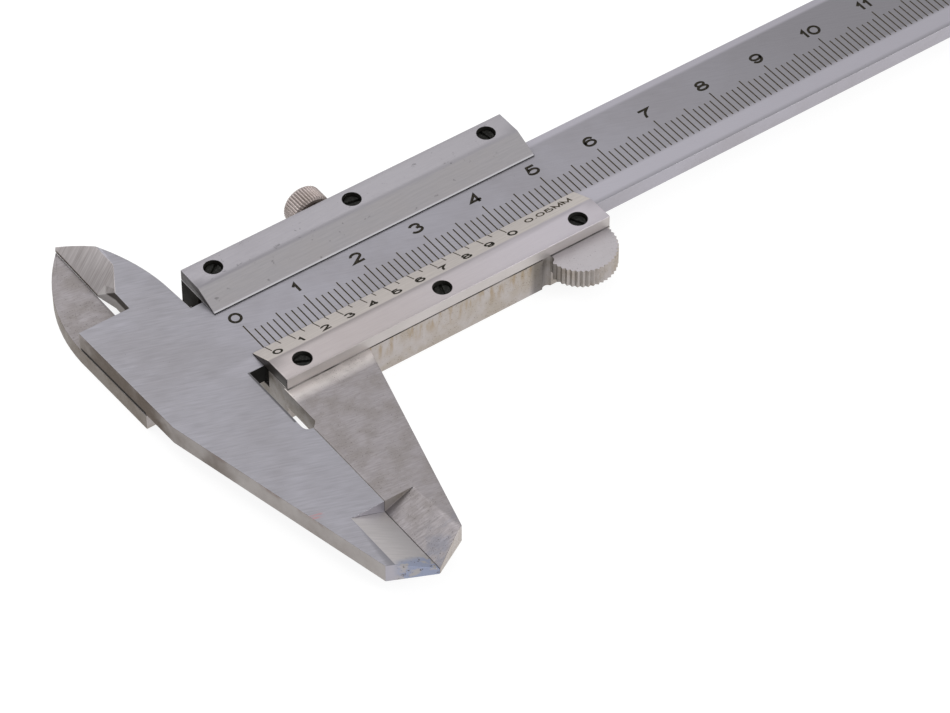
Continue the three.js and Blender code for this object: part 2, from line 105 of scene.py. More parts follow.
studio = {
    "sky": (1.0, 1.0, 1.0),
    "skyStrength": 0.62,
    "floorGlow": 0.86,
    "floorTone": 0.22,
    "floorReach": 3,
    "floorGap": 0.0001,
    "softboxes": [
        {"place": (-0.10, 0.45, 0.65), "size": 0.70, "power": 3.2},
        {"place": (0.40, -0.60, 0.40), "size": 0.50, "power": 3.0},
    ],
}


def makeStudio():
    world = bpy.data.worlds.new("studio")
    world.use_nodes = True
    sky = world.node_tree.nodes["Background"]
    sky.inputs["Color"].default_value = (*studio["sky"], 1)
    sky.inputs["Strength"].default_value = studio["skyStrength"]
    bpy.context.scene.world = world
    for i, box in enumerate(studio["softboxes"]):
        data = bpy.data.lights.new(f"softbox{i}", "AREA")
        data.shape = "DISK"
        data.size = box["size"]
        data.energy = box["power"]
        lamp = bpy.data.objects.new(f"softbox{i}", data)
        lamp.location = box["place"]
        lamp.rotation_euler = (-Vector(box["place"])).to_track_quat("-Z", "Y").to_euler()
        bpy.context.scene.collection.objects.link(lamp)
    reach, level = studio["floorReach"], cadLow.z - studio["floorGap"]
    corners = [(x * reach, y * reach, level) for x, y in [(-1, -1), (1, -1), (1, 1), (-1, 1)]]
    floor = meshPiece("floor", corners, [(0, 1, 2, 3)], [floorFinish()])
    bpy.context.scene.view_settings.view_transform = "Standard"


def meshPiece(name, points, faces, finishes, smooth=False):
    mesh = bpy.data.meshes.new(name)
    mesh.from_pydata([tuple(p) for p in points], [], faces)
    mesh.update()
    mesh.shade_smooth() if smooth else mesh.shade_flat()
    for finish in finishes:
        mesh.materials.append(finish)
    piece = bpy.data.objects.new(name, mesh)
    bpy.context.scene.collection.objects.link(piece)
    return piece


# Quads between neighbouring rows of a grid that is closed around its columns.
def gridFaces(rows, columns):
    row, column = np.meshgrid(np.arange(rows - 1), np.arange(columns), indexing="ij")
    a = row * columns + column
    b = row * columns + (column + 1) % columns
    return np.stack([a, b, b + columns, a + columns], -1).reshape(-1, 4)


# Closed round piece. radius and height are arrays, one row for each ring and one column for
# each angle. A point is radius at its angle, height up the axis; the end rings close in poles.
def roundPiece(name, radius, height, finishes, place=(0, 0, 0), axis="z"):
    rows, columns = radius.shape
    angle = np.linspace(0, 2 * np.pi, columns, endpoint=False)
    ring = np.stack([radius * np.cos(angle), radius * np.sin(angle), height], -1)
    points = np.concatenate([
        ring.reshape(-1, 3), [[0, 0, height[0].mean()]], [[0, 0, height[-1].mean()]],
    ])
    if axis == "y":
        points = points[:, [0, 2, 1]] * np.array([1, 1, -1])
    foot, crown = rows * columns, rows * columns + 1
    around = np.arange(columns)
    after = (around + 1) % columns
    last = (rows - 1) * columns
    faces = gridFaces(rows, columns).tolist()
    faces += np.stack([after, around, np.full(columns, foot)], -1).tolist()
    faces += np.stack([last + around, last + after, np.full(columns, crown)], -1).tolist()
    piece = meshPiece(name, toFrame(points + np.array(place)), faces, finishes, smooth=True)
    piece.data.set_sharp_from_angle(angle=math.radians(38))
    return piece


softening = {"merge": 1e-6, "flat": 0.6, "chosen": 40, "rounded": 50, "crease": 19.5}


# Copy of a node with its triangles merged and its long edges rounded over by width.
# Edges beside a face thinner than thinnest stay sharp. The rounding takes the second finish,
# and edges between flat faces that meet at more than a shallow angle are shaded sharp.
def softened(node, name, finishes, width, thinnest):
    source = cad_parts[node]
    mesh = source.data.copy()
    mesh.name = name
    work = bmesh.new()
    work.from_mesh(mesh)
    bmesh.ops.remove_doubles(work, verts=work.verts, dist=softening["merge"])
    flat = math.radians(softening["flat"])
    bmesh.ops.dissolve_limit(work, angle_limit=flat, verts=work.verts, edges=work.edges)
    breadth = {f: 2 * f.calc_area() / f.calc_perimeter() for f in work.faces}
    chosen = [
        e for e in work.edges
        if len(e.link_faces) == 2
        and e.calc_face_angle(0) > math.radians(softening["chosen"])
        and min(breadth[f] for f in e.link_faces) > thinnest * mm
    ]
    bmesh.ops.bevel(
        work, geom=chosen, offset=width * mm, segments=2, profile=0.5,
        affect="EDGES", clamp_overlap=False, material=1,
    )
    bmesh.ops.triangulate(work, faces=work.faces)
    for face in work.faces:
        face.smooth = True
    for edge in work.edges:
        rounded = any(face.material_index == 1 for face in edge.link_faces)
        limit = softening["rounded" if rounded else "crease"]
        edge.smooth = edge.calc_face_angle(0) < math.radians(limit)
    work.to_mesh(mesh)
    work.free()
    mesh.materials.clear()
    for finish in finishes:
        mesh.materials.append(finish)
    piece = bpy.data.objects.new(name, mesh)
    bpy.context.scene.collection.objects.link(piece)
    even = piece.modifiers.new("evenNormals", "WEIGHTED_NORMAL")
    even.mode, even.weight, even.keep_sharp = "FACE_AREA_WITH_ANGLE", 100, True
    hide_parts(node)
    return piece


def socketKind(label):
    return "NodeSocketVector" if label in ("Place", "Direction") else "NodeSocketFloat"


# Node group with its inputs' defaults by label, and its outputs' labels.
def newGroup(name, ins, outs):
    tree = bpy.data.node_groups.new(name, "ShaderNodeTree")
    for label, value in ins.items():
        item = tree.interface.new_socket(name=label, in_out="INPUT", socket_type=socketKind(label))
        if value is not None:
            item.default_value = value
    for label in outs:
        tree.interface.new_socket(name=label, in_out="OUTPUT", socket_type=socketKind(label))
    return tree, tree.nodes.new("NodeGroupInput"), tree.nodes.new("NodeGroupOutput")


# Links an input to another node's output, or gives it a fixed value.
def fill(tree, spot, value):
    if isinstance(value, bpy.types.NodeSocket):
        tree.links.new(value, spot)
    else:
        spot.default_value = value


# Adds a node. settings are its properties and values are socket defaults or links by name.
def node(tree, kind, settings=None, **values):
    made = tree.nodes.new(kind)
    for key, value in (settings or {}).items():
        setattr(made, key, value)
    for key, value in values.items():
        spot = int(key[1:]) if key[0] == "i" and key[1:].isdigit() else key
        fill(tree, made.inputs[spot], value)
    return made


def maths(tree, operation, a, b=0.0, c=0.0, clamp=False):
    settings = {"operation": operation, "use_clamp": clamp}
    return node(tree, "ShaderNodeMath", settings, i0=a, i1=b, i2=c).outputs[0]


def product(tree, first, *others):
    for value in others:
        first = maths(tree, "MULTIPLY", first, value)
    return first


# Colour a going to colour b by share.
def mixed(tree, share, a, b, blend="MIX"):
    made = node(tree, "ShaderNodeMix", {"data_type": "RGBA", "blend_type": blend}, i0=share)
    for spot, value in ((6, a), (7, b)):
        fill(tree, made.inputs[spot], (*value, 1) if isinstance(value, tuple) else value)
    return made.outputs[2]


def remap(tree, value, low, high, toLow=0.0, toHigh=1.0, smooth=True):
    kind = {"interpolation_type": "SMOOTHSTEP" if smooth else "LINEAR"}
    made = node(tree, "ShaderNodeMapRange", kind, i0=value, i1=low, i2=high, i3=toLow, i4=toHigh)
    return made.outputs[0]


def noiseAt(tree, place, scale, detail):
    return node(tree, "ShaderNodeTexNoise", Vector=place, Scale=scale, Detail=detail).outputs[0]


# Object coordinates in millimetres from the zero line, as a vector and its three parts.
def scaleSpace():
    tree, _, out = newGroup("scaleSpace", {}, ["Place", "X", "Y", "Z"])
    spot = node(tree, "ShaderNodeTexCoord").outputs["Object"]
    place = node(
        tree, "ShaderNodeMapping", Vector=spot,
        Location=tuple(-zero / mm), Scale=(1 / mm, 1 / mm, 1 / mm),
    ).outputs[0]
    parts = node(tree, "ShaderNodeSeparateXYZ", Vector=place)
    tree.links.new(place, out.inputs["Place"])
    for axis in "XYZ":
        tree.links.new(parts.outputs[axis], out.inputs[axis])
    return tree


# Ground lines: noise drawn out along one direction, fine and coarse together.
def grain():
    given = {"Place": None, "Angle": 0.0, "Fineness": 4.0, "Length": 8.0}
    tree, into, out = newGroup("grain", given, ["Lines", "Broad"])
    turned = node(
        tree, "ShaderNodeVectorRotate", {"rotation_type": "Z_AXIS"},
        Vector=into.outputs["Place"], Angle=into.outputs["Angle"],
    ).outputs[0]
    along = maths(tree, "DIVIDE", into.outputs["Fineness"], into.outputs["Length"])
    for label, factor, detail in (("Lines", 1.0, 3.0), ("Broad", 0.22, 2.0)):
        stretch = node(
            tree, "ShaderNodeCombineXYZ",
            X=product(tree, along, factor),
            Y=product(tree, into.outputs["Fineness"], factor),
            Z=product(tree, into.outputs["Fineness"], factor),
        ).outputs[0]
        drawn = node(
            tree, "ShaderNodeVectorMath", {"operation": "MULTIPLY"}, i0=turned, i1=stretch,
        ).outputs[0]
        noise = noiseAt(tree, drawn, 1.0, detail)
        tree.links.new(remap(tree, noise, 0.3, 0.7, smooth=False), out.inputs[label])
    return tree


# Handling marks: soft blotches, and small dark pits that gather where the blotches are.
def mottle():
    given = {"Place": None, "Size": 4.0, "Pit Size": 0.35, "Pit Share": 0.3}
    tree, into, out = newGroup("mottle", given, ["Blotches", "Pits"])
    broad = node(
        tree, "ShaderNodeTexNoise", Vector=into.outputs["Place"],
        Scale=maths(tree, "DIVIDE", 1.0, into.outputs["Size"]), Detail=4.0, Roughness=0.6,
    ).outputs[0]
    blotches = remap(tree, broad, 0.35, 0.68)
    pitScale = maths(tree, "DIVIDE", 1.0, into.outputs["Pit Size"])
    fine = noiseAt(tree, into.outputs["Place"], pitScale, 2.0)
    bar = maths(tree, "SUBTRACT", 0.80, product(tree, into.outputs["Pit Share"], 0.3))
    bar = maths(tree, "SUBTRACT", bar, product(tree, blotches, 0.06))
    over = maths(tree, "SUBTRACT", fine, bar)
    pits = maths(tree, "MULTIPLY", over, 14.0, clamp=True)
    tree.links.new(blotches, out.inputs["Blotches"])
    tree.links.new(pits, out.inputs["Pits"])
    return tree


# One inside a stretch of a coordinate, zero outside it, with soft ends.
def band():
    given = {"Value": 0.0, "From": 0.0, "To": 1.0, "Soft": 0.1}
    tree, into, out = newGroup("band", given, ["Mask"])
    value, soft = into.outputs["Value"], into.outputs["Soft"]
    rise = maths(tree, "DIVIDE", maths(tree, "SUBTRACT", value, into.outputs["From"]), soft)
    fall = maths(tree, "DIVIDE", maths(tree, "SUBTRACT", into.outputs["To"], value), soft)
    inside = maths(tree, "MINIMUM", maths(tree, "ADD", rise, 0.5), maths(tree, "ADD", fall, 0.5))
    tree.links.new(maths(tree, "ADD", inside, 0.0, clamp=True), out.inputs["Mask"])
    return tree


# How much a surface faces a direction: one where the cosine between its normal and the
# direction is over To, zero where it is under From.
def facing():
    given = {"Direction": None, "From": 0.45, "To": 0.85}
    tree, into, out = newGroup("facing", given, ["Share"])
    normal = node(tree, "ShaderNodeNewGeometry").outputs["True Normal"]
    dot = node(
        tree, "ShaderNodeVectorMath", {"operation": "DOT_PRODUCT"},
        i0=normal, i1=into.outputs["Direction"],
    ).outputs["Value"]
    share = remap(tree, dot, into.outputs["From"], into.outputs["To"])
    tree.links.new(share, out.inputs["Share"])
    return tree


groups = {make.__name__: make() for make in (scaleSpace, grain, mottle, band, facing)}


def use(tree, name, **values):
    return node(tree, "ShaderNodeGroup", {"node_tree": groups[name]}, **values)


def towards(tree, direction, **limits):
    return use(tree, "facing", Direction=direction, **limits).outputs["Share"]


def within(tree, value, span, soft):
    return use(tree, "band", Value=value, From=span[0], To=span[1], Soft=soft).outputs["Mask"]


# One inside a mark's rectangle of x and y, times share, with soft borders.
def patch(tree, space, mark, share):
    for axis in "XY":
        inside = within(tree, space.outputs[axis], mark[axis], mark["soft"])
        share = product(tree, inside, share)
    return share


# A mark's tone laid over another one where the mask is, at the mark's strength.
def laid(tree, mask, mark, tone):
    return mixed(tree, product(tree, mask, mark["strength"]), tone, mark["tone"])


def newFinish(name):
    finish = bpy.data.materials.new(name)
    finish.use_nodes = True
    return finish, finish.node_tree


# Gives a finish's shader its inputs by label.
def shaded(tree, values):
    for label, value in values.items():
        fill(tree, tree.nodes["Principled BSDF"].inputs[label], value)


def floorFinish():
    finish, tree = newFinish("paleFloor")
    tone = studio["floorTone"]
    shaded(tree, {
        "Base Color": (tone, tone, tone, 1), "Roughness": 0.9, "Specular IOR Level": 0.0,
        "Emission Color": (1, 1, 1, 1), "Emission Strength": studio["floorGlow"],
    })
    return finish


# Ground steel. The tone goes from dark to light with the grain, the blotches warm it, the
# pits darken it, and extra adds what only one piece has, with its share of black painted shade
# and grime. Side faces take the side tone and walls that face -y the front tone, which paint
# light and shade onto the walls by the way they face. On the front and back the grain is drawn
# flat, so its lines run on.
def steel(name, look, extra=None):
    finish, tree = newFinish(name)
    space = use(tree, "scaleSpace")
    place = space.outputs["Place"]
    broadFaces = maths(tree, "ADD", towards(tree, (0, 0, 1)), towards(tree, (0, 0, -1)))
    level = product(tree, space.outputs["Z"], maths(tree, "SUBTRACT", 1.0, broadFaces))
    drawn = node(
        tree, "ShaderNodeCombineXYZ", X=space.outputs["X"], Y=space.outputs["Y"], Z=level,
    ).outputs[0]
    lines = use(
        tree, "grain", Place=drawn, Angle=math.radians(look["grainAngle"]),
        Fineness=look["fineness"], Length=look["grainLength"],
    )
    marks = use(
        tree, "mottle", Place=place, Size=look["blotch"],
        i2=look["pitSize"], i3=look["pitShare"],
    )
    ridges, blotches = lines.outputs["Lines"], marks.outputs["Blotches"]
    tone = mixed(tree, ridges, look["dark"], look["light"])
    broad = product(tree, lines.outputs["Broad"], look["broad"])
    tone = mixed(tree, broad, tone, look["light"])
    blotch = product(tree, blotches, look["blotchShare"])
    tone = mixed(tree, blotch, tone, look["warm"])
    # Painted light and shade: walls that face -y take the front tone, the other walls the blotched
    # side tone.
    front = towards(tree, (0, -1, 0))
    wall = mixed(tree, blotches, look["sideLight"], look["sideDark"])
    fore = mixed(tree, product(tree, blotches, 0.5), look["front"], look["frontDark"])
    tone = mixed(tree, broadFaces, mixed(tree, front, wall, fore), tone)
    between = [look["rough"] + spread for spread in look["roughSpread"]]
    rough = remap(tree, ridges, 0, 1, *between, False)
    rough = maths(tree, "ADD", rough, product(tree, blotch, look["blotchRough"]))
    height = product(tree, ridges, look["relief"])
    shadeAndGrime = 0.0
    if extra:
        tone, rough, shadeAndGrime = extra(tree, space, lines, marks, tone, rough)
    # The black share is painted shade in gaps, holes and under edges, and grime.
    tone = mixed(tree, product(tree, shadeAndGrime, look["shadeAndGrimeCover"]), tone, look["shadeAndGrime"])
    rough = maths(tree, "ADD", rough, product(tree, shadeAndGrime, look["shadeAndGrimeRough"]))
    pits = marks.outputs["Pits"]
    tone = mixed(tree, product(tree, pits, look["pitCover"]), tone, look["pit"])
    height = maths(tree, "SUBTRACT", height, product(tree, pits, look["pitDepth"]))
    depth = look["bumpDepth"] * mm
    bump = node(tree, "ShaderNodeBump", Strength=look["bump"], Distance=depth, Height=height)
    clean = maths(tree, "SUBTRACT", 1.0, shadeAndGrime)
    shaded(tree, {
        "Base Color": tone, "Roughness": rough, "Normal": bump.outputs["Normal"],
        "Metallic": product(tree, clean, look["metallic"]),
        "Specular IOR Level": look["specular"],
    })
    return finish


# Rubbed edge: brighter than the face, dulled here and there along its length.
def edgeSteel(name, tone, rough=0.25):
    finish, tree = newFinish(name)
    space = use(tree, "scaleSpace")
    share = remap(tree, noiseAt(tree, space.outputs["Place"], 0.9, 3.0), 0.35, 0.65)
    dull = tuple(v * 0.62 for v in tone)
    shaded(tree, {
        "Base Color": mixed(tree, share, dull, tone), "Metallic": 1.0,
        "Roughness": remap(tree, share, 0, 1, rough + 0.2, rough),
    })
    return finish


# Blackened steel or cut-line filling, with worn, slightly shinier spots.
def blackFinish(name, tone, rough):
    finish, tree = newFinish(name)
    space = use(tree, "scaleSpace")
    share = remap(tree, noiseAt(tree, space.outputs["Place"], 3.0, 4.0), 0.4, 0.7)
    light = tuple(v * 2.2 + 0.006 for v in tone)
    shaded(tree, {
        "Base Color": mixed(tree, share, tone, light), "Specular IOR Level": 0.12,
        "Roughness": remap(tree, share, 0, 1, rough, rough - 0.15),
    })
    return finish


# The side and front tones paint light and shade onto the walls by the way they face, and the black
# tone is painted shade and grime.
beamLook = {
    "dark": (0.228, 0.223, 0.244), "light": (0.260, 0.254, 0.281), "warm": (0.228, 0.218, 0.230),
    "sideLight": (0.36, 0.335, 0.325), "sideDark": (0.25, 0.22, 0.205),
    "front": (0.385, 0.37, 0.41), "frontDark": (0.33, 0.31, 0.325),
    "pit": (0.07, 0.06, 0.055), "grainAngle": 20, "fineness": 3.6, "grainLength": 12,
    "broad": 0.2, "blotch": 14, "blotchShare": 0.5, "pitSize": 0.3, "pitShare": 0.1,
    "rough": 0.42, "roughSpread": (0.07, -0.05), "blotchRough": 0.12, "shadeAndGrimeRough": 0.4,
    "shadeAndGrime": (0.009, 0.008, 0.006), "shadeAndGrimeCover": 0.97, "pitCover": 0.65, "pitDepth": 0.5,
    "relief": 0.24, "bump": 0.3, "bumpDepth": 0.02, "metallic": 0.6, "specular": 0.25,
}


beamMarks = {
    "field": {
        "Y": (0.15, 11.4), "soft": 0.5, "startX": (-9.0, 6.0), "fadeX": (50.0, 110.0),
        "light": (0.295, 0.287, 0.318), "dark": (0.272, 0.262, 0.285),
        "far": (0.215, 0.208, 0.225), "strength": 0.85, "rough": 0.1,
    },
    "lower": {"Y": (-3.0, 0.0), "soft": 0.8, "strength": 0.85, "tone": (0.40, 0.385, 0.43)},
    "upper": {
        "startY": (11.0, 11.7), "startX": (4.0, 40.0), "strength": 0.85,
        "tone": (0.385, 0.37, 0.415),
    },
    # The bevel's light tones are painted lighter to offset the shade that its tilt takes.
    "bevel": {
        "direction": (-0.57, 0.0, 0.82), "From": 0.87, "To": 0.91, "startY": (20.0, 22.0),
        "grainAngle": -22, "fineness": 5.0, "grainLength": 30.0, "strength": 0.95,
        "dark": (0.33, 0.305, 0.305), "light": (0.53, 0.495, 0.50),
    },
    "thinned": {
        "direction": (0.356, 0.0, 0.934), "From": 0.96, "To": 0.985, "fadeX": (-8.3, -3.6),
        "left": (0.56, 0.53, 0.53), "right": (0.43, 0.41, 0.415), "lines": (0.38, 0.36, 0.36),
        "lineShare": 0.5, "strength": 0.9,
    },
    # Brown stain with painted shade on the walls that face -x.
    "stainAndShade": {
        "startY": (-22.0, -5.0), "blotches": (-0.4, 0.7), "strength": 1.0,
        "tone": (0.085, 0.062, 0.045),
    },
    "rust": {
        "X": (-30.0, -4.6), "Y": (-32.0, -3.0), "soft": 2.0, "Z": (-0.5, 0.3), "softZ": 0.4,
        "blotches": (0.2, 0.8), "strength": 0.7, "tone": (0.17, 0.115, 0.095),
    },
    # Relief slot: pale low down as painted light for the floor seen beyond, near black higher up as
    # painted shade.
    "notch": {
        "X": (-11.6, -10.2), "Y": (17.2, 24.4), "soft": 0.1, "riseZ": (-1.5, -1.1),
        "low": (0.60, 0.58, 0.57), "high": (0.09, 0.08, 0.07),
    },
    # The next three marks are painted black shade: the seam over the arm, the corner beside the
    # vernier plate, and a painted shadow along the relief's edge.
    "seam": {"X": (-30.0, -12.0), "Y": (1.7, 17.0), "soft": 0.2, "Z": (-3.1, -2.55), "softZ": 0.08},
    "cornerShade": {"X": (-4.3, 0.5), "Y": (-3.6, -2.2), "soft": 0.1},
    "rim": {"X": (-4.5, -4.1), "Y": (-13.5, -2.3), "soft": 0.15, "strength": 0.6},
    "tip": {
        "startY": (-40.9, -42.2), "startX": (-8.8, -7.0), "strength": 0.5,
        "tone": (0.33, 0.315, 0.30),
    },
    "blue": {
        "scale": 0.7, "noise": (0.45, 0.54), "strength": 0.7, "tone": (0.235, 0.28, 0.42),
    },
    "specks": {
        "scale": 2.1, "noise": (0.60, 0.66), "startZ": (0.0, -0.8), "strength": 0.85,
        "tone": (0.09, 0.07, 0.055),
    },
    "red": {
        "X": (-12.9, -10.8), "Y": (-29.6, -28.5), "soft": 0.4, "lines": (0.4, 0.7),
        "strength": 0.45, "tone": (0.34, 0.13, 0.13),
    },
}


# The scale field is duller than the polished strips above and below it. The inside jaw's bevel
# has its own ground lines and a painted lighter tone that offsets the shade its tilt takes, and
# the thinned face of the jaw is paler.
def beamFaces(tree, space, lines, blotches, tone, rough):
    x, y = space.outputs["X"], space.outputs["Y"]
    top = towards(tree, (0, 0, 1))
    mark = beamMarks["field"]
    start = product(tree, remap(tree, x, *mark["startX"]), top)
    field = product(tree, within(tree, y, mark["Y"], mark["soft"]), start)
    dull = mixed(tree, blotches, mark["light"], mark["dark"])
    dull = mixed(tree, remap(tree, x, *mark["fadeX"]), dull, mark["far"])
    tone = mixed(tree, product(tree, field, mark["strength"]), tone, dull)
    rough = maths(tree, "ADD", rough, product(tree, field, mark["rough"]))

    mark = beamMarks["lower"]
    lower = product(tree, within(tree, y, mark["Y"], mark["soft"]), start)
    tone = laid(tree, lower, mark, tone)
    mark = beamMarks["upper"]
    upper = product(tree, remap(tree, y, *mark["startY"]), remap(tree, x, *mark["startX"]), top)
    tone = laid(tree, upper, mark, tone)

    # The bevel's tone is painted lighter to offset the shade that its tilt takes.
    mark = beamMarks["bevel"]
    bevel = towards(tree, mark["direction"], From=mark["From"], To=mark["To"])
    bevel = product(tree, bevel, remap(tree, y, *mark["startY"]))
    level = node(tree, "ShaderNodeCombineXYZ", X=x, Y=y).outputs["Vector"]
    ground = use(
        tree, "grain", Place=level, Angle=math.radians(mark["grainAngle"]),
        Fineness=mark["fineness"], Length=mark["grainLength"],
    )
    cut = mixed(tree, ground.outputs["Lines"], mark["dark"], mark["light"])
    tone = mixed(tree, product(tree, bevel, mark["strength"]), tone, cut)

    mark = beamMarks["thinned"]
    thinned = towards(tree, mark["direction"], From=mark["From"], To=mark["To"])
    pale = mixed(tree, remap(tree, x, *mark["fadeX"]), mark["left"], mark["right"])
    drawn = product(tree, lines.outputs["Lines"], mark["lineShare"])
    pale = mixed(tree, drawn, pale, mark["lines"])
    return mixed(tree, product(tree, thinned, mark["strength"]), tone, pale), rough


# The walls that face -x are stained brown and darkened further as painted shade, with rust along
# their top. In the relief slot the side faces are painted pale low down, as painted light for the
# floor seen beyond, and near black higher up as painted shade. Painted black shade sits in the
# seam over the arm and in the corner beside the vernier plate, with a painted shadow along the
# relief's edge.
def beamWalls(tree, space, blotches, tone):
    y, z = space.outputs["Y"], space.outputs["Z"]
    side = maths(tree, "SUBTRACT", 1.0, towards(tree, (0, 0, 1)))
    edgeOn = maths(tree, "SUBTRACT", side, towards(tree, (0, 0, -1)))
    # Brown stain and painted shade on the walls that face -x.
    mark = beamMarks["stainAndShade"]
    stainAndShade = product(
        tree, remap(tree, y, *mark["startY"]), towards(tree, (-1, 0, 0)),
        remap(tree, blotches, *mark["blotches"]),
    )
    tone = laid(tree, stainAndShade, mark, tone)
    mark = beamMarks["rust"]
    rust = product(
        tree, within(tree, z, mark["Z"], mark["softZ"]), remap(tree, blotches, *mark["blotches"]),
        side,
    )
    tone = laid(tree, patch(tree, space, mark, rust), mark, tone)
    # In the relief slot the side faces are painted pale low down, as painted light for the floor
    # seen beyond, and near black higher up as painted shade.
    mark = beamMarks["notch"]
    slot = mixed(tree, remap(tree, z, *mark["riseZ"]), mark["low"], mark["high"])
    tone = mixed(tree, patch(tree, space, mark, side), tone, slot)

    # Painted black shade in the seam over the arm and in the corner beside the vernier plate, and a
    # painted shadow along the relief's edge.
    mark = beamMarks["seam"]
    seam = product(tree, within(tree, z, mark["Z"], mark["softZ"]), edgeOn)
    seam = patch(tree, space, mark, seam)
    cornerShade = patch(tree, space, beamMarks["cornerShade"], side)
    rim = patch(tree, space, beamMarks["rim"], beamMarks["rim"]["strength"])
    return tone, maths(tree, "MAXIMUM", seam, maths(tree, "MAXIMUM", cornerShade, rim))


# The tip is tinted blue with bare chips and dark specks, and a faint red mark is on the jaw.
def beamTip(tree, space, lines, tone):
    mark = beamMarks["tip"]
    heat = product(
        tree, remap(tree, space.outputs["Y"], *mark["startY"]),
        remap(tree, space.outputs["X"], *mark["startX"]),
    )
    tone = laid(tree, heat, mark, tone)
    mark = beamMarks["blue"]
    chips = noiseAt(tree, space.outputs["Place"], mark["scale"], 3.0)
    tone = laid(tree, product(tree, heat, remap(tree, chips, *mark["noise"])), mark, tone)
    mark = beamMarks["specks"]
    specks = noiseAt(tree, space.outputs["Place"], mark["scale"], 3.0)
    specks = product(
        tree, heat, remap(tree, specks, *mark["noise"]),
        remap(tree, space.outputs["Z"], *mark["startZ"]),
    )
    tone = laid(tree, specks, mark, tone)
    mark = beamMarks["red"]
    drawn = remap(tree, lines.outputs["Lines"], *mark["lines"])
    red = patch(tree, space, mark, product(tree, drawn, towards(tree, (0, 0, 1))))
    return laid(tree, red, mark, tone)


def beamExtras(tree, space, lines, marks, tone, rough):
    blotches = marks.outputs["Blotches"]
    tone, rough = beamFaces(tree, space, lines, blotches, tone, rough)
    tone, shadeAndGrime = beamWalls(tree, space, blotches, tone)
    return beamTip(tree, space, lines, tone), rough, shadeAndGrime


# Its side and front tones paint light and shade onto the walls by the way they face.
sliderLook = dict(
    beamLook, dark=(0.218, 0.200, 0.206), light=(0.268, 0.249, 0.258), warm=(0.205, 0.185, 0.178),
    sideLight=(0.30, 0.275, 0.26), sideDark=(0.22, 0.19, 0.16),
    front=(0.43, 0.395, 0.385), frontDark=(0.34, 0.285, 0.21), fineness=4.4, grainLength=7,
    grainAngle=8, blotch=3.5, blotchShare=0.7, pitSize=0.2, pitShare=0.42,
)


sliderMarks = {
    # Painted highlight on the jaw's top beside the plate's joint line.
    "strip": {
        "Y": (-10.0, -6.0), "soft": 1.9, "blotches": (0.3, 1.0, 1.0, 0.8), "endX": 20.0,
        "strength": 0.85, "tone": (0.70, 0.655, 0.635),
    },
    "worn": {"startX": (20.0, 38.0), "strength": 0.8, "tone": (0.45, 0.425, 0.445)},
    "tan": {
        "X": (8.0, 39.0), "Y": (-8.3, -7.8), "soft": 0.2, "stretch": (0.75, 0.2),
        "noise": (0.47, 0.66), "startZ": (-4.2, -1.0), "strength": 0.75,
        "tone": (0.31, 0.235, 0.145),
    },
    # Painted black shade on the slider's left ends and in the joint line; the side faces beside the
    # thumb rest are darkened.
    "ends": {"X": (-2.4, -1.4), "Y": (11.0, 20.0), "soft": 0.1},
    "corner": {"X": (38.6, 41.6), "Y": (-14.0, -7.4), "soft": 1.0, "strength": 0.55},
    "joint": {
        "X": (-2.0, 60.0), "Y": (-8.16, -7.95), "soft": 0.08, "Z": (-0.06, 0.2), "softZ": 0.06,
        "broad": (0.1, 0.7, 0.3, 0.9),
    },
    # Brown tone with painted shade on the walls that face -x.
    "brownAndShade": {"endX": -9.0, "strength": 0.75, "tone": (0.145, 0.118, 0.095)},
    "tint": {
        "startY": (-36.0, -42.0), "blotches": (0.2, 0.9), "strength": 0.4,
        "tone": (0.20, 0.215, 0.28),
    },
}


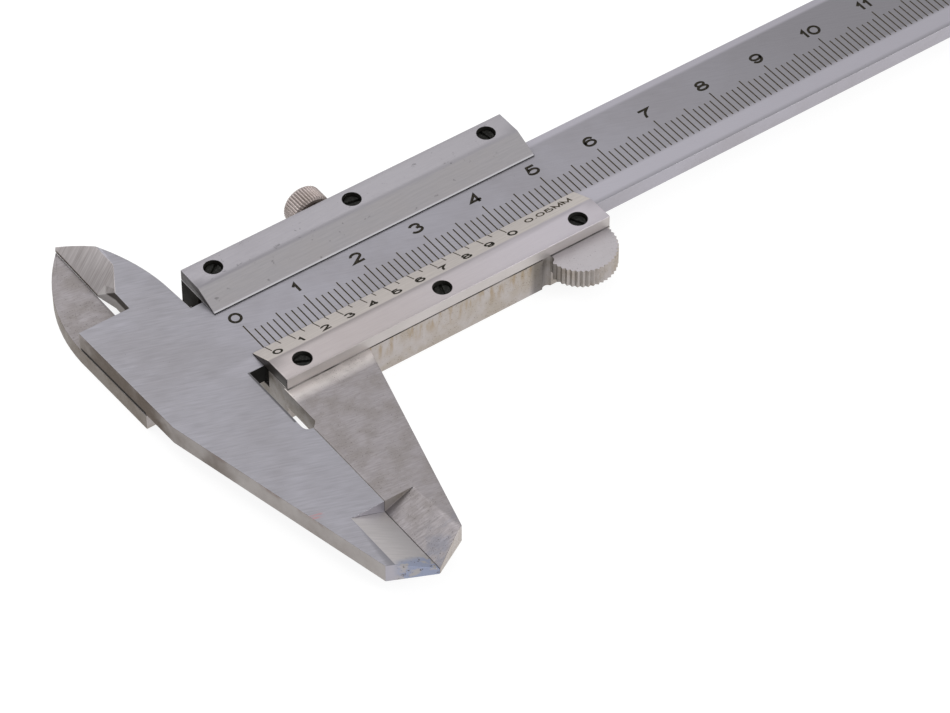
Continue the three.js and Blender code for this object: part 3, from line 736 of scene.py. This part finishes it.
# A painted highlight in a strip on the jaw beside the plate's joint line, a worn right part,
# painted black shade on the slider's left ends beside the beam and in the joint line, tan stains
# on the long wall, side faces beside the thumb rest darkened, a brown wall with painted shade
# round the arm's left side, and a faintly tinted tip.
def sliderExtras(tree, space, lines, marks, tone, rough):
    x, y, z = (space.outputs[axis] for axis in "XYZ")
    blotches = marks.outputs["Blotches"]
    top = towards(tree, (0, 0, 1))
    # Painted highlight: the jaw's top beside the plate's joint line is painted light.
    mark = sliderMarks["strip"]
    paintedHighlight = product(
        tree, within(tree, y, mark["Y"], mark["soft"]), top,
        remap(tree, blotches, *mark["blotches"]), maths(tree, "LESS_THAN", x, mark["endX"]),
    )
    tone = laid(tree, paintedHighlight, mark, tone)
    mark = sliderMarks["worn"]
    tone = laid(tree, product(tree, remap(tree, x, *mark["startX"]), top), mark, tone)

    mark = sliderMarks["tan"]
    spread = node(
        tree, "ShaderNodeCombineXYZ", X=product(tree, x, mark["stretch"][0]),
        Z=product(tree, z, mark["stretch"][1]),
    ).outputs["Vector"]
    tan = product(
        tree, remap(tree, noiseAt(tree, spread, 1.0, 4.0), *mark["noise"]),
        towards(tree, (0, -1, 0)), remap(tree, z, *mark["startZ"]),
    )
    tone = laid(tree, patch(tree, space, mark, tan), mark, tone)

    # Painted black shade on the slider's left ends under the plates and in the joint line under the
    # vernier plate; the side faces beside the thumb rest are darkened too.
    side = maths(tree, "SUBTRACT", 1.0, top)
    ends = patch(tree, space, sliderMarks["ends"], side)
    corner = patch(tree, space, sliderMarks["corner"], side)
    corner = product(tree, corner, sliderMarks["corner"]["strength"])
    mark = sliderMarks["joint"]
    joint = patch(tree, space, mark, within(tree, z, mark["Z"], mark["softZ"]))
    joint = product(tree, joint, remap(tree, lines.outputs["Broad"], *mark["broad"]))
    shadeAndGrime = maths(tree, "MAXIMUM", maths(tree, "MAXIMUM", ends, joint), corner)

    # A brown tone with painted shade on the walls that face -x left of the arm.
    mark = sliderMarks["brownAndShade"]
    brownAndShade = product(tree, maths(tree, "LESS_THAN", x, mark["endX"]), towards(tree, (-1, 0, 0)))
    tone = laid(tree, brownAndShade, mark, tone)
    mark = sliderMarks["tint"]
    tint = product(
        tree, remap(tree, y, *mark["startY"]), top, remap(tree, blotches, *mark["blotches"]),
    )
    return laid(tree, tint, mark, tone), rough, shadeAndGrime


# The front wall, facing -y, is painted as light as the top, as if lit from the front; the other
# walls, the thin land over the scale and the ends, are painted near black as shade.
vernierLook = dict(
    beamLook, dark=(0.485, 0.445, 0.43), light=(0.585, 0.545, 0.51), warm=(0.54, 0.495, 0.465),
    sideLight=(0.10, 0.09, 0.085), sideDark=(0.03, 0.025, 0.02),
    front=(0.50, 0.465, 0.455), frontDark=(0.44, 0.41, 0.395),
    grainAngle=0, blotch=6, blotchShare=0.4, pitSize=0.25, pitShare=0.02, rough=0.38,
)
# The front wall, the thin land facing -y over the scale, is painted near black as the shade in the
# gap under the edge; the other walls are painted dark as shade.
guideLook = dict(
    beamLook, dark=(0.325, 0.313, 0.328), light=(0.385, 0.368, 0.382), warm=(0.34, 0.318, 0.318),
    sideLight=(0.16, 0.152, 0.155), sideDark=(0.08, 0.073, 0.072),
    front=(0.05, 0.045, 0.04), frontDark=(0.025, 0.022, 0.02),
    grainAngle=0, blotch=7, blotchShare=0.35, pitSize=0.3, pitShare=0.07,
)


plateMarks = {
    "holeRadius": 1.40,
    "flatZ": (1.80, 1.94),
    "vernier": {
        "fadeX": (10.0, 48.0), "left": (0.325, 0.292, 0.298), "right": (0.42, 0.392, 0.435),
        "strength": 0.85,
    },
    "guide": {
        "fadeX": (0.0, 36.0), "left": (0.275, 0.263, 0.288), "right": (0.325, 0.312, 0.338),
        "strength": 0.8,
    },
    # Painted black shade in the gap where the vernier plate sits on the slider.
    "seam": {"X": (-5.0, 60.0), "Y": (-8.3, -7.8), "soft": 0.1, "Z": (0.0, 0.15), "softZ": 0.06},
    "scuff": {
        "scale": 0.9, "noise": (0.64, 0.70), "lines": (0.35, 0.6), "strength": 0.6,
        "tone": (0.12, 0.115, 0.12),
    },
    # Painted highlight along the guide plate's thin edge.
    "edge": {"Z": (0.20, 0.32), "softZ": 0.06, "strength": 0.8, "tone": (0.60, 0.59, 0.62)},
}


# The screw holes are painted black inside as shade: one where the sum of the squared distances in
# x and y from a plate's screw centre is under the square of the hole's radius.
def holeGrime(tree, space, plate):
    inside = 0.0
    for side in ("left", "middle", "right"):
        low, high = boxOf(f"{plate}_screw_{side}")
        middle = (low + high) / 2
        squares = []
        for axis, centre in zip("XY", middle):
            away = maths(tree, "SUBTRACT", space.outputs[axis], centre)
            squares.append(maths(tree, "POWER", away, 2.0))
        near = maths(tree, "LESS_THAN", maths(tree, "ADD", *squares), plateMarks["holeRadius"] ** 2)
        inside = maths(tree, "MAXIMUM", inside, near)
    return inside


# A plate's flat band is lighter than its bevel, and its tone changes from left to right.
def plateFlat(tree, space, mark, tone):
    flat = remap(tree, space.outputs["Z"], *plateMarks["flatZ"])
    fade = remap(tree, space.outputs["X"], *mark["fadeX"])
    pale = mixed(tree, fade, mark["left"], mark["right"])
    return mixed(tree, product(tree, flat, mark["strength"]), tone, pale)


# The vernier plate's front wall is painted black along the line where it sits on the slider, as
# shade in the gap, and its screw holes are painted black inside as shade.
def vernierExtras(tree, space, lines, marks, tone, rough):
    tone = plateFlat(tree, space, plateMarks["vernier"], tone)
    mark = plateMarks["seam"]
    seam = patch(tree, space, mark, within(tree, space.outputs["Z"], mark["Z"], mark["softZ"]))
    return tone, rough, maths(tree, "MAXIMUM", seam, holeGrime(tree, space, "vernier_plate"))


# The guide plate's bevel carries scattered dark scuffs, its thin edge takes a painted highlight,
# and its screw holes are painted black inside as shade.
def guideExtras(tree, space, lines, marks, tone, rough):
    tone = plateFlat(tree, space, plateMarks["guide"], tone)
    mark = plateMarks["scuff"]
    scuff = noiseAt(tree, space.outputs["Place"], mark["scale"], 5.0)
    scuff = product(
        tree, remap(tree, scuff, *mark["noise"]),
        remap(tree, lines.outputs["Lines"], *mark["lines"]),
    )
    tone = laid(tree, scuff, mark, tone)
    # A painted highlight along the thin edge.
    mark = plateMarks["edge"]
    paintedHighlight = within(tree, space.outputs["Z"], mark["Z"], mark["softZ"])
    return laid(tree, paintedHighlight, mark, tone), rough, holeGrime(tree, space, "guide_plate")


knurlLook = dict(
    beamLook, dark=(0.31, 0.26, 0.25), light=(0.42, 0.365, 0.35), warm=(0.29, 0.24, 0.215),
    sideLight=(0.42, 0.375, 0.36), sideDark=(0.30, 0.26, 0.235),
    front=(0.32, 0.275, 0.26), frontDark=(0.22, 0.185, 0.16), blotch=3, pitShare=0.02,
)
bronzeLook = dict(
    beamLook, dark=(0.36, 0.20, 0.08), light=(0.50, 0.29, 0.12), warm=(0.30, 0.16, 0.07),
    sideLight=(0.48, 0.28, 0.12), sideDark=(0.30, 0.17, 0.07),
    front=(0.48, 0.28, 0.12), frontDark=(0.30, 0.17, 0.07), grainAngle=0,
)

finishes = {
    "beam": steel("beamSteel", beamLook, beamExtras),
    "slider": steel("sliderSteel", sliderLook, sliderExtras),
    "vernier": steel("vernierSteel", vernierLook, vernierExtras),
    "guide": steel("guideSteel", guideLook, guideExtras),
    "rod": steel("rodSteel", guideLook),
    "knurl": steel("knurledSteel", knurlLook),
    "bronze": steel("gibBronze", bronzeLook),
    "edge": edgeSteel("rubbedEdge", (0.55, 0.53, 0.55)),
    "black": blackFinish("blackenedSteel", (0.004, 0.004, 0.003), 0.5),
    "ink": blackFinish("lineFilling", (0.026, 0.020, 0.011), 0.7),
    "numeral": blackFinish("numeralFilling", (0.010, 0.008, 0.004), 0.6),
}
print("finishes made")

softPieces = [
    {"node": "beam_with_fixed_jaws", "name": "beamAndFixedJaws", "finish": "beam", "body": "beam",
     "slot": "beam_steel", "width": 0.08, "thinnest": 0.56},
    {"node": "slider_body", "name": "sliderAndJaws", "finish": "slider", "body": "slider",
     "slot": "slider_steel", "width": 0.08, "thinnest": 0.56},
    {"node": "vernier_plate", "name": "vernierPlate", "finish": "vernier", "body": "slider",
     "slot": "plate_steel", "width": 0.12, "thinnest": 0.5},
    {"node": "guide_plate", "name": "guidePlate", "finish": "guide", "body": "slider",
     "slot": "plate_steel", "width": 0.12, "thinnest": 0.5},
    {"node": "depth_rod", "name": "depthRod", "finish": "rod", "body": "slider",
     "slot": "slider_steel", "width": 0.06, "thinnest": 0.2},
    {"node": "gib_strip", "name": "gibStrip", "finish": "bronze", "body": "gib",
     "slot": "spring_bronze", "width": 0.04, "thinnest": 0.2},
    {"node": "end_stop", "name": "endStop", "finish": "rod", "body": "beam",
     "slot": "beam_steel", "width": 0.12, "thinnest": 0.4},
]

for piece in softPieces:
    made = softened(
        piece["node"], piece["name"], [finishes[piece["finish"]], finishes["edge"]],
        piece["width"], piece["thinnest"],
    )
    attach(made, piece["body"])
print("steel pieces softened")


# Nought below zero and one above one; between them, three squares less two cubes.
def smoothStep(value):
    value = np.clip(value, 0, 1)
    return value * value * (3 - 2 * value)


# Slotted screw in its CAD node's own box: profile rings of the head, then a slot pressed in
# where the distance from a line through the middle is less than half the slot's width.
def turnedScrew(name, node, head, shank, finish, slotTurn, facesUp=True, axis="z"):
    low, high = boxOf(node)
    middle = (low + high) / 2
    along = 1 if axis == "y" else 2
    length = high[along] - low[along]
    columns, chamfer, soft = 72, 0.12, 0.12
    angle = np.linspace(0, 2 * np.pi, columns, endpoint=False)
    r, h, rim = head["radius"], head["height"], head["rim"]
    profile = [
        (shank - chamfer, 0.0), (shank, chamfer), (shank, length - h),
        (r, length - h), (r, length - rim), (r - 0.35 * rim, length - 0.35 * rim),
    ]
    inner = r - rim
    face = [(inner * s, length - head["dish"] * (1 - s) ** 0.5) for s in np.linspace(1, 0.04, 16)]
    rings = np.array(profile + face)
    radius = np.repeat(rings[:, :1], columns, 1)
    height = np.repeat(rings[:, 1:], columns, 1)
    across = np.abs(radius * np.sin(angle + slotTurn))
    inSlot = smoothStep((head["slotWidth"] / 2 + soft / 2 - across) / soft)
    press = inSlot * head["slotDepth"]
    press[: len(profile) - 1] = 0
    height = height - press
    if axis == "y":
        base = np.array([middle[0], low[1], middle[2]])
        return roundPiece(name, radius, height, [finish], base, "y")
    if not facesUp:
        height = length - height[::-1]
        radius = radius[::-1]
    base = np.array([middle[0], middle[1], low[2]])
    return roundPiece(name, radius, height, [finish], base)


plateScrew = {
    "radius": 1.25, "height": 0.6, "rim": 0.16, "dish": 0.05, "slotWidth": 0.34, "slotDepth": 0.3,
    "shank": 0.95,
    "turns": {"vernier_plate": (0.5, 1.9, 1.1), "guide_plate": (2.5, 0.2, 1.4)},
}
endScrew = {
    "radius": 1.5, "height": 0.35, "rim": 0.12, "dish": 0.03, "slotWidth": 0.38,
    "slotDepth": 0.3, "shank": 0.8,
}
gibScrew = {
    "radius": 1.0, "height": 0.5, "rim": 0.12, "dish": 0.04, "slotWidth": 0.3,
    "slotDepth": 0.45, "shank": 0.99,
}

for plate, turns in plateScrew["turns"].items():
    for side, turn in zip(("left", "middle", "right"), turns):
        screw = turnedScrew(
            f"{plate.split('_')[0]}Screw{side.title()}", f"{plate}_screw_{side}",
            plateScrew, plateScrew["shank"], finishes["black"], turn,
        )
        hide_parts(f"{plate}_screw_{side}")
        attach(screw, "slider")
for side, turn in (("left", 0.7), ("right", 2.0)):
    screw = turnedScrew(
        f"gibScrew{side.title()}", f"gib_screw_{side}", gibScrew, gibScrew["shank"],
        finishes["black"], turn, axis="y",
    )
    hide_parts(f"gib_screw_{side}")
    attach(screw, "slider")
for side, turn in (("lower", 0.4), ("upper", 1.3)):
    screw = turnedScrew(
        f"endStopScrew{side.title()}", f"end_stop_screw_{side}", endScrew, endScrew["shank"],
        finishes["black"], turn, facesUp=False,
    )
    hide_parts(f"end_stop_screw_{side}")
    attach(screw, "beam")

rivet = {"crown": 0.12}
for side in ("left", "right"):
    low, high = boxOf(f"depth_rod_rivet_{side}")
    reach, length = (high[0] - low[0]) / 2, high[2] - low[2]
    rings = np.array([
        (reach * 0.1, 0.0), (reach * 0.7, 0.02), (reach * 0.94, 0.07), (reach, rivet["crown"]),
        (reach, length - 0.08), (reach - 0.08, length),
    ])
    columns = 48
    made = roundPiece(
        f"depthRodRivet{side.title()}", np.repeat(rings[:, :1], columns, 1),
        np.repeat(rings[:, 1:], columns, 1), [finishes["slider"]],
        np.array([(low[0] + high[0]) / 2, (low[1] + high[1]) / 2, low[2]]),
    )
    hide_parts(f"depth_rod_rivet_{side}")
    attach(made, "slider")

lockScrew = {
    "teeth": 40, "toothDepth": 0.17, "headRadius": 3.04, "headLength": 3.2, "chamfer": 0.35,
    "neckRadius": 1.7, "neckLength": 1.2, "shank": 1.2, "dish": 0.25,
}


# Turned knurled head: the radius is the profile's, less the tooth depth where the tooth wave
# is low. The wave is |sin| of half the teeth times the angle, and it fades out at the chamfers.
def makeLockScrew():
    low, high = boxOf("lock_screw")
    length = high[1] - low[1]
    d = lockScrew
    headStart = length - d["headLength"]
    neckStart = headStart - d["neckLength"]
    r = d["headRadius"]
    c = d["chamfer"]
    rings = [
        (d["shank"] - 0.3, 0, 0), (d["shank"], 0.3, 0), (d["shank"], neckStart, 0),
        (d["neckRadius"] - 0.1, neckStart, 0), (d["neckRadius"], neckStart + 0.1, 0),
        (d["neckRadius"], headStart + d["dish"], 0), (r - 1.0, headStart + d["dish"], 0),
        (r - 0.85, headStart, 0), (r - c, headStart, 0.3), (r - 0.12, headStart + c * 0.7, 0.8),
        (r, headStart + c, 1), (r, headStart + d["headLength"] / 2, 1), (r, length - c, 1),
        (r - 0.12, length - c * 0.7, 0.8), (r - c, length, 0.3), (r - 0.9, length, 0),
        (r - 1.1, length - 0.12, 0), (0.4, length - 0.12, 0),
    ]
    rings = np.array(rings)
    columns = d["teeth"] * 8
    angle = np.linspace(0, 2 * np.pi, columns, endpoint=False)
    wave = 1 - np.abs(np.sin(angle * d["teeth"] / 2)) ** 0.8
    radius = rings[:, :1] - rings[:, 2:] * d["toothDepth"] * wave
    height = np.repeat(rings[:, 1:2], columns, 1)
    base = np.array([(low[0] + high[0]) / 2, low[1], (low[2] + high[2]) / 2])
    made = roundPiece("lockScrew", radius, height, [finishes["knurl"]], base, "y")
    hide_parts("lock_screw")
    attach(made, "lock_screw")


makeLockScrew()
print("screws turned")

mainScale = {
    "reach": 150, "short": 4.16, "middle": 5.0, "long": 5.52, "width": 0.19, "foot": 0.0,
    "digitY": 7.35,
}
vernierScale = {
    "lines": 21, "step": 1.95, "short": 1.15, "long": 1.9, "width": 0.15, "start": 0.02,
    "digitShift": 0.38, "digitY": -2.4, "flat": 4.3, "land": 0.12,
}
lineProud = 0.012


# Flat strips from start to end points, each a thin slab: its four corners lie half a width
# to either side across x, and the slab stands proud of the face by lift.
def stripes(name, starts, ends, widths, lift, body):
    starts, ends = np.asarray(starts, float), np.asarray(ends, float)
    half = np.asarray(widths, float)[:, None] / 2 * np.array([1.0, 0, 0])
    foot = np.stack([starts - half, starts + half, ends + half, ends - half], 1)
    points = np.concatenate([foot - lift, foot + lift], 1).reshape(-1, 3)
    first = (np.arange(len(starts)) * 8)[:, None, None]
    cell = np.array([
        [4, 5, 6, 7], [3, 2, 1, 0], [0, 1, 5, 4], [1, 2, 6, 5], [2, 3, 7, 6], [3, 0, 4, 7],
    ])
    faces = (first + cell).reshape(-1, 4).tolist()
    made = meshPiece(name, toFrame(points), faces, [finishes["ink"]])
    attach(made, body)
    return made


millimetres = np.arange(mainScale["reach"] + 1)
tall = np.where(
    millimetres % 10 == 0, mainScale["long"],
    np.where(millimetres % 5 == 0, mainScale["middle"], mainScale["short"]),
)
flat = np.zeros(len(millimetres))
stripes(
    "mainScaleLines",
    np.stack([millimetres, flat + mainScale["foot"], flat], 1),
    np.stack([millimetres, flat + mainScale["foot"] + tall, flat], 1),
    flat + mainScale["width"], np.array([0, 0, lineProud]), "beam",
)

plateBox = boxOf("vernier_plate")
bevelTop = np.array([0, plateBox[0][1] + vernierScale["flat"], plateBox[1][2]])
bevelFoot = np.array([0, plateBox[1][1], plateBox[0][2] + vernierScale["land"]])
bevelDown = (bevelTop - bevelFoot) / np.linalg.norm(bevelTop - bevelFoot)
bevelOut = np.cross([1, 0, 0], -bevelDown)
if bevelOut[2] < 0:
    bevelOut = -bevelOut


# Point on the vernier bevel: x along it, slant millimetres up it from its thin edge.
def onBevel(x, slant, lift=0.0):
    x, slant = np.asarray(x, float), np.asarray(slant, float)
    return (
        x[..., None] * np.array([1.0, 0, 0]) + bevelFoot
        + slant[..., None] * bevelDown + lift * bevelOut
    )


steps = np.arange(vernierScale["lines"])
reach = np.where(steps % 2 == 0, vernierScale["long"], vernierScale["short"])
stripes(
    "vernierLines", onBevel(steps * vernierScale["step"], steps * 0 + vernierScale["start"]),
    onBevel(steps * vernierScale["step"], vernierScale["start"] + reach),
    steps * 0 + vernierScale["width"], bevelOut * lineProud, "slider",
)


def arc(x, y, wide, tall, start, end):
    turn = np.radians(np.linspace(start, end, 24))
    return np.stack([x + wide * np.cos(turn), y + tall * np.sin(turn)], -1)


def straight(*corners):
    return np.array(corners, float)


# Each sign is its strokes' middle lines in a box one wide and one tall, and its share of the width.
signs = {
    "0": (1.0, [arc(0.5, 0.5, 0.5, 0.5, 90, 450)]),
    "1": (0.42, [straight((0.0, 0.70), (0.75, 1.0), (0.75, 0.0))]),
    "2": (1.0, [np.vstack([arc(0.5, 0.71, 0.45, 0.29, 175, -38), [[0.03, 0.0], [1.0, 0.0]]])]),
    "3": (1.0, [arc(0.48, 0.75, 0.42, 0.25, 168, -82), arc(0.48, 0.27, 0.50, 0.27, 82, -168)]),
    "4": (1.0, [straight((0.74, 0.0), (0.74, 1.0), (0.0, 0.27), (1.02, 0.27))]),
    "5": (1.0, [np.vstack([[[0.92, 1.0], [0.2, 1.0], [0.08, 0.5]],
                           arc(0.48, 0.32, 0.50, 0.32, 128, -168)])]),
    "6": (1.0, [np.vstack([arc(0.52, 0.5, 0.50, 0.5, 32, 172),
                           arc(0.5, 0.32, 0.48, 0.32, 182, 532)])]),
    "7": (1.0, [np.vstack([[[0.0, 1.0], [0.98, 1.0]], arc(1.05, 0.0, 0.72, 0.9, 118, 180)])]),
    "8": (1.0, [arc(0.5, 0.76, 0.40, 0.24, 90, 450), arc(0.5, 0.26, 0.49, 0.26, 90, 450)]),
    "9": (1.0, [np.vstack([arc(0.48, 0.5, 0.50, 0.5, 212, 352),
                           arc(0.5, 0.68, 0.48, 0.32, 2, 352)])]),
    ".": (0.08, [straight((0.5, 0.0), (0.5, 0.12))]),
    "M": (1.1, [straight((0.0, 0.0), (0.0, 1.0), (0.5, 0.08), (1.0, 1.0), (1.0, 0.0))]),
}


# Strip along a path: each point is moved half a stroke to either side, along the mitre of the
# two stretches that meet there. On a ring the last stretch meets the first one.
def strip(path, half):
    ring = np.allclose(path[0], path[-1])
    before = np.vstack([path[-2:-1] if ring else 2 * path[:1] - path[1:2], path[:-1]])
    after = np.vstack([path[1:], path[1:2] if ring else 2 * path[-1:] - path[-2:-1]])
    ways = [(path - before), (after - path)]
    ways = [w / np.linalg.norm(w, axis=1, keepdims=True) for w in ways]
    first, second = [np.stack([-w[:, 1], w[:, 0]], -1) for w in ways]
    mitre = (first + second) / (1 + np.sum(first * second, 1, keepdims=True))
    return path + half * mitre, path - half * mitre


# Numerals as one mesh. The signs of a word stand side by side about its middle, and place(where)
# gives the word's middle point, its way across and its way up.
def lettering(name, words, body, look, place):
    points, faces = [], []
    for word, where in words:
        widths = [signs[c][0] * look["wide"] for c in word]
        left = -(sum(widths) + look["apart"] * (len(word) - 1)) / 2
        origin, across, upward, outward = place(where)
        for sign, width in zip(word, widths):
            for layer, path in enumerate(signs[sign][1]):
                proud = outward * (lineProud + 0.004 * layer)
                inked = path * [width, look["tall"]] + [left, -look["tall"] / 2]
                edges = strip(inked, look["stroke"] / 2)
                flat = [origin + e[:, :1] * across + e[:, 1:] * upward for e in edges]
                ring = np.stack(
                    [flat[0] - proud, flat[1] - proud, flat[1] + proud, flat[0] + proud], 1,
                )
                start, count = len(points), len(path)
                points.extend(ring.reshape(-1, 3).tolist())
                faces.extend((gridFaces(count, 4) + start).tolist())
                faces.append([start + 3, start + 2, start + 1, start])
                faces.append([start + 4 * count - 4 + i for i in range(4)])
            left += width + look["apart"]
    made = meshPiece(name, toFrame(points), faces, [finishes[look["finish"]]])
    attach(made, body)


xWay, yWay, zWay = np.eye(3)


def onBeam(x):
    return np.array([x, mainScale["digitY"], 0.0]), xWay, yWay, zWay


# A place on the vernier bevel at the given height y, shifted along x.
def onPlate(y, shift):
    slant = (bevelFoot[1] - y) / abs(bevelDown[1])
    return lambda x: (onBevel(x + shift, slant), xWay, -bevelDown, bevelOut)


mainDigits = {"tall": 1.62, "wide": 1.62, "stroke": 0.40, "apart": 0.55, "finish": "numeral"}
vernierDigits = {"tall": 1.24, "wide": 1.14, "stroke": 0.34, "apart": 0.4, "finish": "numeral"}
unitDigits = {"tall": 1.08, "wide": 1.06, "stroke": 0.24, "apart": 0.40, "finish": "ink"}
unitPlace = {"x": 46.3, "y": -1.25}
lettering("mainNumerals", [(str(i), i * 10.0) for i in range(16)], "beam", mainDigits, onBeam)
lettering(
    "vernierNumerals", [(str(i % 10), i * 2 * vernierScale["step"]) for i in range(11)],
    "slider", vernierDigits,
    onPlate(vernierScale["digitY"], vernierScale["digitShift"]),
)
lettering(
    "unitMark", [("0.05MM", unitPlace["x"])], "slider", unitDigits, onPlate(unitPlace["y"], 0.0),
)
print("scales cut")

makeCamera()
makeStudio()

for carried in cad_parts.values():
    if not carried.hide_render:
        carried.data.materials.clear()
        carried.data.materials.append(finishes["slider"])

bpy.context.view_layer.update()
